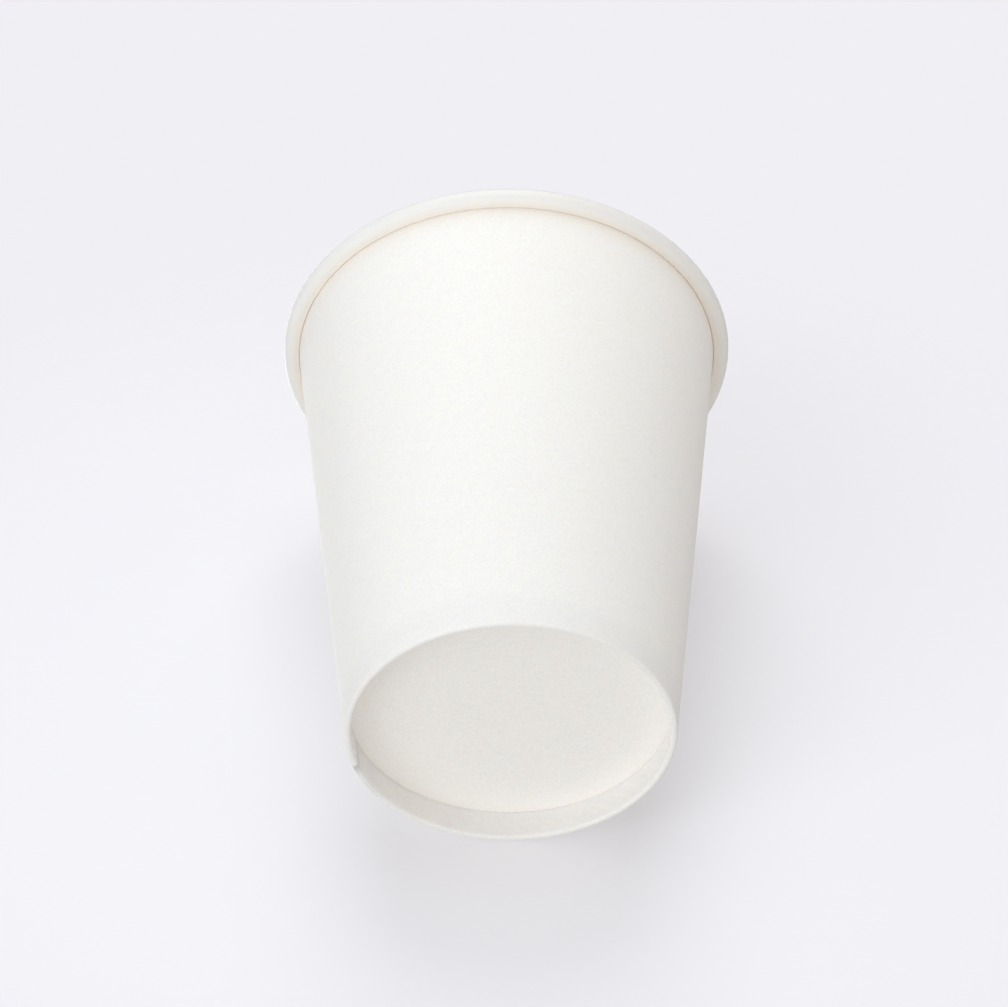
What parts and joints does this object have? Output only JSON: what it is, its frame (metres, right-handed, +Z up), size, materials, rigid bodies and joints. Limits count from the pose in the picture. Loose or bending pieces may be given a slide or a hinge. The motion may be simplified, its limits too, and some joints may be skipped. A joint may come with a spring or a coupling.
{
  "type": "paper coffee cup",
  "caption": "Plain white single-wall paper hot cup with a rolled rim, a glued side seam and a recessed bottom disc held in a folded-in hem.",
  "frame": {"origin": "centre of the ring that the cup stands on, at the underside of the folded bottom edge", "axes": "+Z up the cup's axis from the base to the rim; the glued side seam is 20 degrees from +X towards +Y"},
  "size_m": [0.08, 0.08, 0.092],
  "materials": {
    "sidewall_board": "uncoated matt white outside, thin satin film inside",
    "bottom_board": "uncoated matt off-white below, thin satin film above"
  },
  "bodies": {
    "root": {"sidewall": "sidewall_board", "bottom_disc": "bottom_board"}
  },
  "joints": []
}
